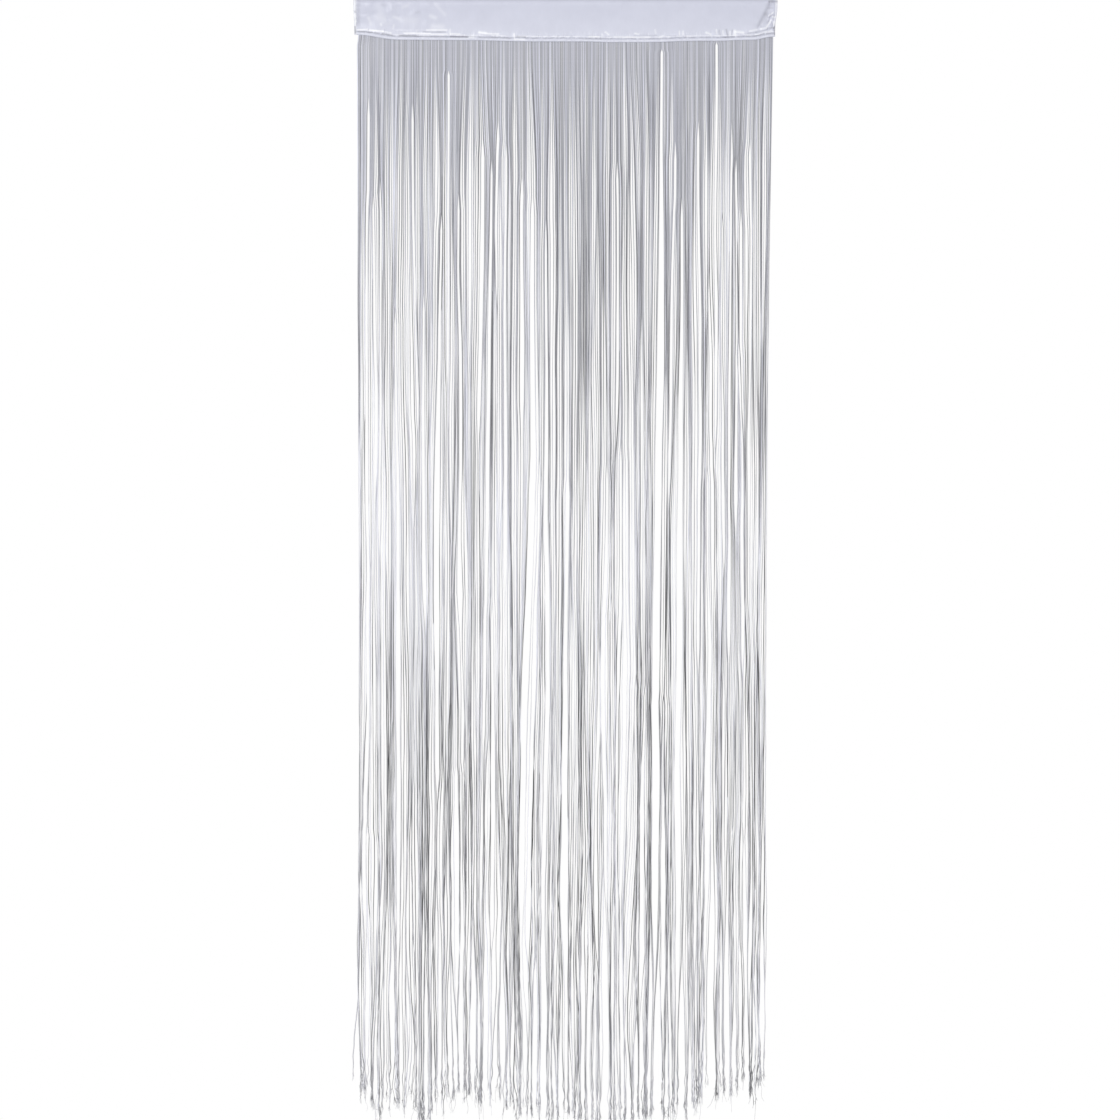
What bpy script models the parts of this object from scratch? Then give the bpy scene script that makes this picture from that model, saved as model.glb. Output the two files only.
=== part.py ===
"""String curtain: a satin rod sleeve with a knitted string fringe sewn into its hem.

Frame: X runs along the curtain, the front faces -Y and Z is up. The origin is the centre line
of the curtain rod at the middle of the sleeve. All sizes are in metres.
"""

import math

import bmesh
import bpy
import numpy as np
from mathutils import Vector

# Overall sizes
HEADER_WIDTH = 0.900
STRING_LENGTH = 2.300

# Clearance between pieces that touch, and between one slice of the fringe and the next
GAP = 0.0003
SLICE_GAP = 0.0004

# Satin sleeve, one strip of cloth that goes up the front, over the rod and down the back
CLOTH = 0.0008
POCKET_RADIUS = 0.0124
HEADER_DROP = 0.0796
SIDE_HEM = 0.0065
HEM_TURNING = 0.012
HEM_FADE = 0.016
ROLL_HEIGHT = 0.0030
STITCH_HEIGHT = 0.0064
EDGE_LAYER_SHARE = 0.40
ROLL_LAYER_SHARE = 1.00
GROOVE_LAYER_SHARE = 0.60
RIDGE_LAYER_SHARE = 1.05
WALL_STATION_SHARES = (0.0, 0.27, 0.54, 0.78)
ARC_STEPS = 4

# Slack folds of the front wall: how deep, and how many along the sleeve
FOLD_DEPTH = 0.0013
LONG_FOLDS = 3
SHORT_FOLDS = 5
SHORT_FOLD_SHARE = 0.45
MIDDLE_STATIONS = 16

# Knitted tape of the fringe, which the hem holds between its front and its back
TAPE_THICKNESS = 0.0010
TAPE_HEIGHT = 0.0105
TAPE_END_MARGIN = 0.0090
TAPE_EDGE_SHARE = 0.35

# Sewing threads
THREAD_RADIUS = 0.00025
THREAD_END_MARGIN = 0.0020
SIDE_SEAM_INSET = 0.0012
SIDE_SEAM_GROOVE = 0.0005
THREAD_SIDES = 6

# Strings, in groups that swing by themselves
GROUPS = 36
LOOP_RADIUS = 0.00075
LOOP_FOOT_HALF = 0.00055
LOOP_FOOT_DROP = 0.00045
STRING_WIDTH = 0.0012
BUNCHES = (3, 4, 2, 3)
STRINGS_PER_GROUP = sum(BUNCHES)
CLING_SHARE = 0.42
FAN_DROP = 0.090
FAN_DEPTH = 0.0032
TIP_DEPTH = 0.0020
RAGGED_DEPTH = 0.055
SIDE_SHORTFALL = 0.045
TIP_WIDTH_SHARE = 0.55
GOLDEN_SHARE = 0.6180339887

SATIN_COLOUR = (0.665, 0.680, 0.785, 1.0)
TAPE_COLOUR = (0.700, 0.705, 0.760, 1.0)
THREAD_COLOUR = (0.560, 0.565, 0.630, 1.0)
STRING_COLOUR = (0.720, 0.722, 0.765, 1.0)


def finish(name, colour, roughness):
    """Makes the Principled material of one piece."""
    material = bpy.data.materials.new(name)
    material.use_nodes = True
    shader = material.node_tree.nodes["Principled BSDF"]
    shader.inputs["Base Color"].default_value = colour
    shader.inputs["Roughness"].default_value = roughness
    shader.inputs["Metallic"].default_value = 0.0
    material.diffuse_color = colour
    return material


def add_piece(name, solid, colour, roughness, location=(0.0, 0.0, 0.0)):
    """Puts a closed bmesh into the scene as a named piece, with its faces pointing out."""
    bmesh.ops.recalc_face_normals(solid, faces=solid.faces)
    mesh = bpy.data.meshes.new(name)
    solid.to_mesh(mesh)
    solid.free()
    mesh.shade_smooth()
    mesh.set_sharp_from_angle(angle=math.radians(40.0))
    mesh.materials.append(finish(name, colour, roughness))
    piece = bpy.data.objects.new(name, mesh)
    piece.location = location
    bpy.context.scene.collection.objects.link(piece)
    return piece


def loft(rings, strip_caps=False):
    """Skins closed rings of equal count into one solid.

    The ends are closed with one face each. With strip_caps a ring is a strip, its first half
    out along one side and its second half back along the other, and quads close its ends.
    """
    solid = bmesh.new()
    rows = [[solid.verts.new(point) for point in ring] for ring in rings]
    count = len(rows[0])
    for near, far in zip(rows, rows[1:]):
        for k in range(count):
            n = (k + 1) % count
            solid.faces.new((near[k], near[n], far[n], far[k]))
    for row in (rows[0], rows[-1]):
        if not strip_caps:
            solid.faces.new(row)
            continue
        for k in range(count // 2 - 1):
            solid.faces.new((row[k], row[k + 1], row[count - 2 - k], row[count - 1 - k]))
    return solid


def tape_slot():
    """Half the width of the slot in the hem that takes the tape."""
    return TAPE_THICKNESS / 2 + GAP


def slack(x, share):
    """How far the front wall stands off its flat line, at x and at a share of its height.

    Two rows of waves of unlike length add up, and fade out at the side hems, hem and rod.
    """
    along = x / HEADER_WIDTH + 0.5
    fade = math.sin(math.pi * along) ** 0.5 if 0.0 < along < 1.0 else 0.0
    long_wave = math.sin(2.0 * math.pi * LONG_FOLDS * along)
    short_wave = math.sin(2.0 * math.pi * SHORT_FOLDS * along + 1.0)
    wave = long_wave + SHORT_FOLD_SHARE * short_wave
    return FOLD_DEPTH * fade * wave * math.sin(math.pi * share) / (1.0 + SHORT_FOLD_SHARE)


def sleeve_side(x, layers):
    """Outer and inner points (depth, z) of one wall at x, from the hem's edge up to the rod's side.

    layers is 1 on the open stretch and 2 at the side hems, where the cloth is folded in.
    """
    slot = tape_slot() if layers == 1 else GAP / 2
    hem_thickness = 2 * CLOTH + tape_slot() - slot
    foot = -HEADER_DROP
    outer = []
    inner = []
    hem_rows = (
        (0.0, EDGE_LAYER_SHARE),
        (ROLL_HEIGHT, ROLL_LAYER_SHARE),
        (STITCH_HEIGHT, GROOVE_LAYER_SHARE),
        (HEM_TURNING, RIDGE_LAYER_SHARE),
    )
    for height, layer_share in hem_rows:
        trimmed = 2 * CLOTH * (1.0 - layer_share)
        outer.append((slot + hem_thickness - trimmed, foot + height))
        inner.append((slot, foot + height))
    wall_foot = tape_slot() + CLOTH
    for share in WALL_STATION_SHARES:
        z = (foot + HEM_FADE) * (1.0 - share)
        depth = wall_foot + (POCKET_RADIUS - wall_foot) * share
        outer.append((depth, z))
        inner.append((max(depth - layers * CLOTH, slot), z))
    return outer, inner


def sleeve_section(x, layers, groove=0.0):
    """Outer and inner points (y, z) of the whole section, from the front hem over the rod to the back.

    groove is how far a seam that runs round the sleeve at x draws in the outside of the cloth.
    """
    outer_side, inner_side = sleeve_side(x, layers)
    wall_start = len(outer_side) - len(WALL_STATION_SHARES)
    inner_radius = POCKET_RADIUS - layers * CLOTH
    loops = []
    for side, radius, drawn in ((outer_side, POCKET_RADIUS, groove), (inner_side, inner_radius, 0.0)):
        front = []
        back = []
        for k, (depth, z) in enumerate(side):
            on_wall = k >= wall_start
            share = WALL_STATION_SHARES[k - wall_start] if on_wall else 0.0
            depth -= drawn if on_wall else 0.0
            front.append((-depth - slack(x, share), z))
            back.append((depth, z))
        arc = []
        for k in range(2 * ARC_STEPS + 1):
            angle = math.pi - math.pi * k / (2 * ARC_STEPS)
            arc.append(((radius - drawn) * math.cos(angle), (radius - drawn) * math.sin(angle)))
        loops.append(front + arc + back[::-1])
    return loops


def side_seam_x():
    """Distance from the middle of the sleeve to the seam of a side hem."""
    return HEADER_WIDTH / 2 - SIDE_HEM + SIDE_SEAM_INSET


def sleeve_stations():
    """Places along X, from the left end to the right, with the layers of cloth and the groove there."""
    half = HEADER_WIDTH / 2
    fold = half - SIDE_HEM
    inside = fold - CLOTH
    end = [(half, 2, 0.0), (side_seam_x(), 2, SIDE_SEAM_GROOVE), (fold, 2, 0.0)]
    middle = [(inside * (2.0 * k / MIDDLE_STATIONS - 1.0), 1, 0.0) for k in range(MIDDLE_STATIONS + 1)]
    return [(-x, layers, groove) for x, layers, groove in end] + middle + end[::-1]


def build_header_sleeve():
    rings = []
    for x, layers, groove in sleeve_stations():
        outer, inner = sleeve_section(x, layers, groove)
        rings.append([(x, y, z) for y, z in outer + inner[::-1]])
    add_piece("header_sleeve", loft(rings, strip_caps=True), SATIN_COLOUR, 0.38)


def build_fringe_tape():
    """The knitted tape: a flat band with softened edges, from side hem to side hem."""
    half = HEADER_WIDTH / 2 - TAPE_END_MARGIN
    flat = TAPE_THICKNESS / 2
    edge = flat * TAPE_EDGE_SHARE
    foot = -HEADER_DROP
    head = foot + TAPE_HEIGHT
    section = (
        (-edge, foot),
        (edge, foot),
        (flat, foot + flat),
        (flat, head - flat),
        (edge, head),
        (-edge, head),
        (-flat, head - flat),
        (-flat, foot + flat),
    )
    rings = [[(x, y, z) for y, z in section] for x in (-half, half)]
    add_piece("fringe_tape", loft(rings), TAPE_COLOUR, 0.80)


def build_hem_thread(name, side):
    """One thread of the hem's lockstitch, in the groove that it draws into the cloth.

    side is -1 for the needle thread at the front and 1 for the bobbin thread at the back.
    """
    half = HEADER_WIDTH / 2 - THREAD_END_MARGIN
    depth = tape_slot() + 2 * CLOTH * GROOVE_LAYER_SHARE + GAP + THREAD_RADIUS
    height = STITCH_HEIGHT - HEADER_DROP
    ring = []
    for k in range(THREAD_SIDES):
        angle = 2.0 * math.pi * k / THREAD_SIDES
        ring.append((side * depth + THREAD_RADIUS * math.cos(angle), height + THREAD_RADIUS * math.sin(angle)))
    rings = [[(x, y, z) for y, z in ring] for x in (-half, half)]
    add_piece(name, loft(rings), THREAD_COLOUR, 0.55)


def build_side_thread(name, side):
    """The thread that holds a side hem: up the front wall, over the rod and down the back."""
    x = side * side_seam_x()
    outer, _ = sleeve_section(x, 2, SIDE_SEAM_GROOVE)
    hem_points = 4
    path = np.array(outer[hem_points:-hem_points])
    lines = np.gradient(path, axis=0)
    lines /= np.linalg.norm(lines, axis=1)[:, None]
    outward = np.stack((-lines[:, 1], lines[:, 0]), axis=1)
    stand_off = GAP + 2 * THREAD_RADIUS
    rings = []
    for (y, z), (out_y, out_z) in zip(path, outward):
        ring = []
        for turn in range(4):
            across = THREAD_RADIUS * math.cos(math.pi * turn / 2)
            off = stand_off + THREAD_RADIUS * math.sin(math.pi * turn / 2)
            ring.append((x + across, y + out_y * off, z + out_z * off))
        rings.append(ring)
    add_piece(name, loft(rings), THREAD_COLOUR, 0.55)


def even_share(number, offset=0.0):
    """A share from 0 to 1 that steps evenly through the range in an irregular order."""
    return math.modf(number * GOLDEN_SHARE + offset)[0]


def cling_shifts(index, pitch):
    """How far each string of a group moves along X, below the edge, towards its bunch.

    The strings of a bunch draw together by a share of the free space between neighbours.
    """
    pull = CLING_SHARE * (pitch - STRING_WIDTH - GAP)
    shifts = []
    for turn in range(len(BUNCHES)):
        size = BUNCHES[(index + turn) % len(BUNCHES)]
        shifts += [pull * ((size - 1) / 2 - k) for k in range(size)]
    return shifts


def string_reach(number, x):
    """Length of one string: the longest, less its uneven trim and what the outer strings lack."""
    edge = abs(x) / (HEADER_WIDTH / 2)
    return STRING_LENGTH - RAGGED_DEPTH * even_share(number) - SIDE_SHORTFALL * edge**3


def slice_of_edge(solid, half_length, lanes):
    """The knitted edge's slice: a rounded bar, whose flat foot has one triangle for each string.

    The front line of the foot has two points for each string, and the back line has one.
    """
    foot_front = (-LOOP_FOOT_HALF, -LOOP_FOOT_DROP)
    foot_back = (LOOP_FOOT_HALF, -LOOP_FOOT_DROP)
    crown = []
    for degrees in (190.0, 120.0, 60.0, -10.0):
        angle = math.radians(degrees)
        crown.append((LOOP_RADIUS * math.cos(angle), LOOP_RADIUS * math.sin(angle)))
    section = [foot_front, *crown, foot_back]
    left = [solid.verts.new((-half_length, y, z)) for y, z in section]
    right = [solid.verts.new((half_length, y, z)) for y, z in section]
    front_line = [left[0]]
    back_line = [left[-1]]
    for lane in lanes:
        for x in (lane - STRING_WIDTH / 2, lane + STRING_WIDTH / 2):
            front_line.append(solid.verts.new((x, *foot_front)))
        back_line.append(solid.verts.new((lane, *foot_back)))
    front_line.append(right[0])
    back_line.append(right[-1])
    solid.faces.new(left)
    solid.faces.new(right[::-1])
    solid.faces.new(front_line + [right[1], left[1]])
    solid.faces.new(back_line + [right[-2], left[-2]])
    for k in range(1, len(section) - 2):
        solid.faces.new((left[k], left[k + 1], right[k + 1], right[k]))
    roots = []
    for k in range(len(lanes)):
        near = front_line[2 * k + 1]
        far = front_line[2 * k + 2]
        solid.faces.new((front_line[2 * k], near, back_line[k + 1], back_line[k]))
        roots.append(solid.faces.new((near, far, back_line[k + 1])))
    solid.faces.new((front_line[-2], front_line[-1], back_line[-1], back_line[-2]))
    return roots


def build_string_group(index):
    """One group: a slice of the knitted edge, with its strings drawn down out of its foot.

    Below the edge each string draws towards its bunch, without leaving its own lane along X,
    and fans out in depth. It then runs down and ends in a thinner trimmed tip.
    """
    field = HEADER_WIDTH - 2 * TAPE_END_MARGIN
    slab = field / GROUPS
    pitch = slab / STRINGS_PER_GROUP
    centre = (index + 0.5) * slab - field / 2
    lanes = [(k + 0.5) * pitch - slab / 2 for k in range(STRINGS_PER_GROUP)]
    shifts = cling_shifts(index, pitch)
    solid = bmesh.new()
    roots = slice_of_edge(solid, (slab - SLICE_GAP) / 2, lanes)
    solid.normal_update()
    for k, root in enumerate(roots):
        number = index * STRINGS_PER_GROUP + k
        side = 1.0 if k % 2 else -1.0
        fan = side * FAN_DEPTH * even_share(number // 2, 0.35)
        drift = side * TIP_DEPTH * (even_share(number // 2, 0.8) - 0.5)
        reach = string_reach(number, centre + lanes[k]) - LOOP_FOOT_DROP - FAN_DROP
        low = bmesh.ops.extrude_discrete_faces(solid, faces=[root])["faces"]
        bmesh.ops.translate(solid, verts=low[0].verts, vec=(shifts[k], fan, -FAN_DROP))
        tip = bmesh.ops.extrude_discrete_faces(solid, faces=low)["faces"]
        bmesh.ops.translate(solid, verts=tip[0].verts, vec=(0.0, drift, -reach))
        middle = tip[0].calc_center_median()
        for corner in tip[0].verts:
            corner.co = middle + (corner.co - middle) * TIP_WIDTH_SHARE
    hinge = Vector((centre, 0.0, -HEADER_DROP - GAP - LOOP_RADIUS))
    add_piece(f"strings_{index + 1:02d}", solid, STRING_COLOUR, 0.50, hinge)


def build():
    for old in list(bpy.data.objects):
        bpy.data.objects.remove(old, do_unlink=True)
    build_header_sleeve()
    build_fringe_tape()
    build_hem_thread("hem_needle_thread", -1)
    build_hem_thread("hem_bobbin_thread", 1)
    build_side_thread("side_thread_left", -1)
    build_side_thread("side_thread_right", 1)
    for index in range(GROUPS):
        build_string_group(index)


build()
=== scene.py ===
"""String curtain, dressed for its looks: satin rod sleeve, knitted tape, stitches and strings.

Frame as in the CAD model: X runs along the curtain, the front faces -Y and Z is up. The origin
is the centre line of the curtain rod at the middle of the sleeve. All sizes are in metres.
"""

import math

import bpy
import numpy as np
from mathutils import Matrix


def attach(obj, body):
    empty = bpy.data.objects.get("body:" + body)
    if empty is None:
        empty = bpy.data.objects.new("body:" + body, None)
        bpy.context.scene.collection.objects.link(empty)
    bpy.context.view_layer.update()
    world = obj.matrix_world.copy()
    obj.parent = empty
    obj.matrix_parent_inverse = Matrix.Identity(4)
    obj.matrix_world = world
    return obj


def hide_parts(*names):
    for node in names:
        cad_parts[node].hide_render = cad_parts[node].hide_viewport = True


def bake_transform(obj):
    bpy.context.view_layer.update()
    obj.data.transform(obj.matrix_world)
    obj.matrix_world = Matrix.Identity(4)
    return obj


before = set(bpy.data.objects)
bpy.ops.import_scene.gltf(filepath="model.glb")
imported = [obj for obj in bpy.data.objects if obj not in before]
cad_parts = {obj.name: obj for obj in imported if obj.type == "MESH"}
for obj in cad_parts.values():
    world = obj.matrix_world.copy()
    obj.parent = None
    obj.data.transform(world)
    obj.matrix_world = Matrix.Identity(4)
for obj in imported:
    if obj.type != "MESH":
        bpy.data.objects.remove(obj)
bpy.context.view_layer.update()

# Camera: square to the front and level with the middle of the photo. It stands far off behind a
# long lens, because the photo shows the strings as parallel lines.
PHOTO_SPAN = 2.38
PHOTO_CENTRE_X = -0.0122
PHOTO_CENTRE_Z = -1.1814
CAMERA_DISTANCE = 30.0
SENSOR_MM = 36.0

lens = bpy.data.cameras.new("photo_camera")
lens.sensor_width = SENSOR_MM
lens.lens = SENSOR_MM * CAMERA_DISTANCE / PHOTO_SPAN
lens.clip_end = 100.0
camera = bpy.data.objects.new("photo_camera", lens)
camera.location = (PHOTO_CENTRE_X, -CAMERA_DISTANCE, PHOTO_CENTRE_Z)
camera.rotation_euler = (math.radians(90.0), 0.0, 0.0)
bpy.context.scene.collection.objects.link(camera)
bpy.context.scene.camera = camera
bpy.context.scene.view_settings.view_transform = "Standard"


# Studio: a pale round floor below the strings that fades out to white, soft lamps in front and
# behind, and a surround that is white to the camera and in mirrors and dimmer as a fill light.
FLOOR_Z = -2.45
FLOOR_RADIUS = 1.15
FLOOR_SIDES = 96
FLOOR_COLOUR = (0.8, 0.8, 0.8)
FLOOR_SPECKLE = (0.83, 0.83, 0.83)
FADE_START = 0.4 * FLOOR_RADIUS
FADE_END = 0.98 * FLOOR_RADIUS
FILL_STRENGTH = 0.44


class Wire:
    """A value inside a material. Python's operators work on it, and each one adds a Math node."""

    def __init__(self, tree, socket=None):
        self.tree = tree
        self.socket = socket

    def node(self, kind, settings, values, output=0):
        """Adds any other node: its settings go in first, then its sockets' values or links."""
        made = self.tree.nodes.new(kind)
        for key, setting in settings.items():
            setattr(made, key, setting)
        for key, value in values.items():
            if isinstance(value, Wire):
                value.into(made, key)
            else:
                made.inputs[key].default_value = value
        return Wire(self.tree, made.outputs[output])

    def into(self, node, key):
        """Links this value to one of a node's sockets."""
        self.tree.links.new(self.socket, node.inputs[key])

    def reckon(self, operation, *others):
        """One Math node on this value and the others."""
        values = dict(enumerate((self, *others)))
        return self.node("ShaderNodeMath", {"operation": operation}, values)

    def __add__(self, other):
        return self.reckon("ADD", other)

    __radd__ = __add__

    def __sub__(self, other):
        return self.reckon("SUBTRACT", other)

    def __rsub__(self, other):
        return self.node("ShaderNodeMath", {"operation": "SUBTRACT"}, {0: other, 1: self})

    def __mul__(self, other):
        return self.reckon("MULTIPLY", other)

    __rmul__ = __mul__

    def between(self, low, high):
        """0 where this value is low, 1 where it is high, and clamped beyond."""
        return self.node("ShaderNodeMapRange", {}, {0: self, 1: low, 2: high, 3: 0.0, 4: 1.0})

    def line_at(self, centre, reach):
        """A line's mask: 1 where this value is at the centre, down to 0 at reach to either side."""
        return 1.0 - ((self - centre).reckon("ABSOLUTE") * (1.0 / reach)).reckon("MINIMUM", 1.0)

    def mix(self, *colours):
        """Blends two colours by this value. A colour is a Wire, or its red, green and blue."""
        first, second = (c if isinstance(c, Wire) else (*c, 1.0) for c in colours)
        settings = {"data_type": "RGBA", "blend_type": "MIX"}
        return self.node("ShaderNodeMix", settings, {0: self, 6: first, 7: second}, 2)

    def ray(self, kind):
        """1 for the rays of one kind and 0 for all others."""
        return self.node("ShaderNodeLightPath", {}, {}, kind)

    def solid(self):
        """Places in the space of the object."""
        return self.node("ShaderNodeTexCoord", {}, {}, "Object")

    def cloth_run(self):
        """Places on the piece laid out flat, from its UV map."""
        return self.node("ShaderNodeUVMap", {"uv_map": "cloth_run"}, {})

    def attribute(self, name):
        """The number that is kept under a name at each of the piece's points."""
        return self.node("ShaderNodeAttribute", {"attribute_name": name}, {}, "Fac")

    def scaled(self, *scale):
        """These places times a number for each axis, which makes what is drawn there finer."""
        return self.node("ShaderNodeMapping", {}, {"Vector": self, "Scale": scale})

    def noise(self, scale, detail):
        """Soft random patches at these places, from 0 to 1."""
        values = {"Vector": self, "Scale": scale, "Detail": detail}
        return self.node("ShaderNodeTexNoise", {}, values)

    def waves(self, direction, scale, distortion=0.0):
        """Even bands at these places, one after the other in a direction, from 0 to 1."""
        values = {"Vector": self, "Scale": scale, "Distortion": distortion}
        return self.node("ShaderNodeTexWave", {"bands_direction": direction}, values)

    def raise_face(self, shader, strength, distance):
        """Takes this value as the height of fine relief on a shader's surface."""
        values = {"Height": self, "Strength": strength, "Distance": distance}
        self.node("ShaderNodeBump", {}, values).into(shader, "Normal")


def new_material(name, **finish):
    """A Principled material, with sockets set from finish. Returns it, its shader and a Wire."""
    material = bpy.data.materials.new(name)
    material.use_nodes = True
    shader = material.node_tree.nodes["Principled BSDF"]
    for key, value in finish.items():
        shader.inputs[key.replace("_", " ")].default_value = value
    return material, shader, Wire(material.node_tree)


world = bpy.data.worlds.new("surround")
bpy.context.scene.world = world
world.use_nodes = True
sky = world.node_tree.nodes["Background"]
wire = Wire(world.node_tree)
shown = wire.ray("Is Camera Ray") + wire.ray("Is Glossy Ray") + wire.ray("Is Transmission Ray")
shown = shown.reckon("MINIMUM", 1.0)
(FILL_STRENGTH + shown * (1.0 - FILL_STRENGTH)).into(sky, "Strength")
sky.inputs["Color"].default_value = (1.0, 1.0, 1.0, 1.0)

rim = np.linspace(0.0, 2.0 * np.pi, FLOOR_SIDES, endpoint=False)
rim_x, rim_y = FLOOR_RADIUS * np.cos(rim), FLOOR_RADIUS * np.sin(rim)
rim_points = np.stack((rim_x, rim_y, np.full(FLOOR_SIDES, FLOOR_Z)), 1)
floor_mesh = bpy.data.meshes.new("floor")
floor_mesh.from_pydata(rim_points.tolist(), [], [list(range(FLOOR_SIDES))])
floor_finish, shader, wire = new_material("pale_floor", Roughness=0.75)
solid = wire.solid()
solid.noise(3.0, 4.0).mix(FLOOR_COLOUR, FLOOR_SPECKLE).into(shader, "Base Color")
on_floor = wire.node(
    "ShaderNodeVectorMath", {"operation": "MULTIPLY"}, {0: solid, 1: (1.0, 1.0, 0.0)}
)
from_middle = wire.node("ShaderNodeVectorMath", {"operation": "LENGTH"}, {0: on_floor}, "Value")
faded = from_middle.between(FADE_START, FADE_END) * wire.ray("Is Camera Ray")
pale = Wire(wire.tree, shader.outputs[0])
white = wire.node("ShaderNodeEmission", {}, {"Strength": 1.0})
floor_look = wire.node("ShaderNodeMixShader", {}, {0: faded, 1: pale, 2: white})
floor_look.into(wire.tree.nodes["Material Output"], "Surface")
floor_mesh.materials.append(floor_finish)
floor = bpy.data.objects.new("floor", floor_mesh)
bpy.context.scene.collection.objects.link(floor)

for name, place, size, power in (
    ("key_lamp", (-3.1, -6.2, 0.7), 2.6, 262.0),
    ("side_lamp", (3.6, -5.6, -1.2), 3.0, 100.0),
    ("back_lamp", (1.5, 6.0, -0.2), 3.0, 190.0),
):
    light = bpy.data.lights.new(name, "AREA")
    light.shape = "SQUARE"
    light.size = size
    light.energy = power
    lamp = bpy.data.objects.new(name, light)
    lamp.location = place
    away = np.array((PHOTO_CENTRE_X, 0.0, PHOTO_CENTRE_Z)) - np.array(place)
    lamp.rotation_euler = (
        math.acos(-away[2] / np.linalg.norm(away)),
        0.0,
        math.atan2(away[1], away[0]) - math.pi / 2,
    )
    lamp.visible_camera = False
    bpy.context.scene.collection.objects.link(lamp)


# Header sleeve: one strip of white satin, folded over the rod. Its lower edges are turned in at the
# hem and its ends are turned in as side hems. The seam draws a groove, with a roll below it and a
# ridge above.
SLEEVE_WIDTH = 0.9
CLOTH = 0.00025
ROD_RADIUS = 0.012275
HEM_DROP = 0.0796
WALL_FOOT_HEIGHT = 0.016
WALL_FOOT_DEPTH = 0.0015
WALL_BEND = 0.0015
TURNING_DEPTH = 0.00095
TURNING_DEPTH_AT_SIDES = 0.00042
TURNING_HEIGHT = 0.0112
ROLL_START = 0.0012
STITCH_HEIGHT = 0.0064
SIDE_HEM_EDGE = 0.4436
SIDE_SEAM_X = 0.4447
SIDE_FOLD_RADIUS = 0.00016
# How the hem rises from the middle: where along x it starts, over what length, and how high
HEM_RISES = (
    (-0.06, -0.15, 0.0028), (-0.21, -0.16, 0.001), (-0.355, -0.09, 0.0105),
    (0.045, 0.05, -0.0016), (0.165, 0.12, 0.003), (0.325, 0.06, 0.002),
    (0.395, 0.05, 0.0066),
)
SIDE_LEAN = 0.005


def ease(x, reach=1.0):
    """Smooth step from 0 where x is 0 to 1 where x is reach: 3t^2 - 2t^3, where t is x / reach."""
    t = np.clip(x / reach, 0.0, 1.0)
    return t * t * (3.0 - 2.0 * t)


def bell(x, width=1.0):
    """Bell curve about x = 0: e to the power of minus the square of x / width."""
    return np.exp(-np.square(x / width))


def hem_line(x):
    """Height of the hem's edge at x: the lowest height, plus a smooth step for each rise."""
    rises = [height * ease(x - start, reach) for start, reach, height in HEM_RISES]
    return -HEM_DROP + sum(rises)


def lengths_of(path):
    """Length run along a path of points, from its first point."""
    steps = np.linalg.norm(np.diff(path, axis=0), axis=1)
    return np.concatenate(([0.0], np.cumsum(steps)))


wall_tilt = math.asin((ROD_RADIUS - WALL_FOOT_DEPTH) / (HEM_DROP - WALL_FOOT_HEIGHT))
wall_head_z = -ROD_RADIUS * math.sin(wall_tilt)
wall_head_height = HEM_DROP + wall_head_z


def wall_depth(height):
    """Depth of the smooth wall at a height above the hem's edge.

    It is the foot's depth, plus the wall's slope times a soft ramp that starts at the foot.
    """
    ramp = WALL_BEND * np.logaddexp(0.0, (height - WALL_FOOT_HEIGHT) / WALL_BEND)
    head_depth = ROD_RADIUS * math.cos(wall_tilt)
    slope = (head_depth - WALL_FOOT_DEPTH) / (wall_head_height - WALL_FOOT_HEIGHT)
    return WALL_FOOT_DEPTH + slope * ramp


def half_section(rows, hem_heights):
    """One side of the sleeve's section, from its turning's top over the roll to the rod's crown.

    Returns for every row of points: its depth, its z, the way it moves when the cloth stands off,
    its run up the cloth, and how much it moves with the outer cloth, from 0 on the turning to 1.
    """
    turning_rows, roll_rows, wall_rows, arc_rows = rows
    turning = np.linspace(TURNING_HEIGHT, ROLL_START, turning_rows)
    roll = np.linspace(0.0, np.pi, roll_rows + 2)[1:-1]
    roll_half = (wall_depth(ROLL_START) - TURNING_DEPTH) / 2
    upper = np.linspace(hem_heights[-1], wall_head_height, wall_rows + 1)[1:]
    walls = np.concatenate((hem_heights, upper))
    arc = np.linspace(-wall_tilt, np.pi / 2, arc_rows + 1)[1:]
    depth = np.concatenate((
        np.full(turning_rows, TURNING_DEPTH),
        TURNING_DEPTH + roll_half * (1.0 - np.cos(roll)),
        wall_depth(walls),
        ROD_RADIUS * np.cos(arc),
    ))
    z = np.concatenate((
        turning - HEM_DROP,
        ROLL_START * (1.0 - np.sin(roll)) - HEM_DROP,
        walls - HEM_DROP,
        ROD_RADIUS * np.sin(arc),
    ))
    over_rod = wall_head_height + ROD_RADIUS * (arc + wall_tilt)
    run = np.concatenate((turning, ROLL_START * np.cos(roll), walls, over_rod))
    line = np.stack((np.gradient(depth), np.gradient(z)), 1)
    line /= np.linalg.norm(line, axis=1)[:, None]
    way = np.stack((line[:, 1], -line[:, 0]), 1)
    way[: turning_rows + roll_rows] = (1.0, 0.0)
    share = np.ones(len(depth))
    share[:turning_rows] = 0.0
    share[turning_rows : turning_rows + roll_rows] = (1.0 - np.cos(roll)) / 2
    return depth, z, way, run, share


# Rows of points on the turning, round the roll, up the wall above the hem, and over the rod
FRONT_ROWS = (5, 6, 23, 9)
BACK_ROWS = (4, 5, 9, 9)
front_face = sum(FRONT_ROWS[:2])
back_face = sum(BACK_ROWS[:2])
ridge_heights = (0.0152, 0.0168, 0.0188, 0.0212)
front_heights = np.concatenate((np.linspace(ROLL_START, 0.0138, 15), ridge_heights))
back_heights = np.linspace(ROLL_START, 0.02, 10)
front_section = half_section(FRONT_ROWS, front_heights)
back_section = half_section(BACK_ROWS, back_heights)

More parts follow.
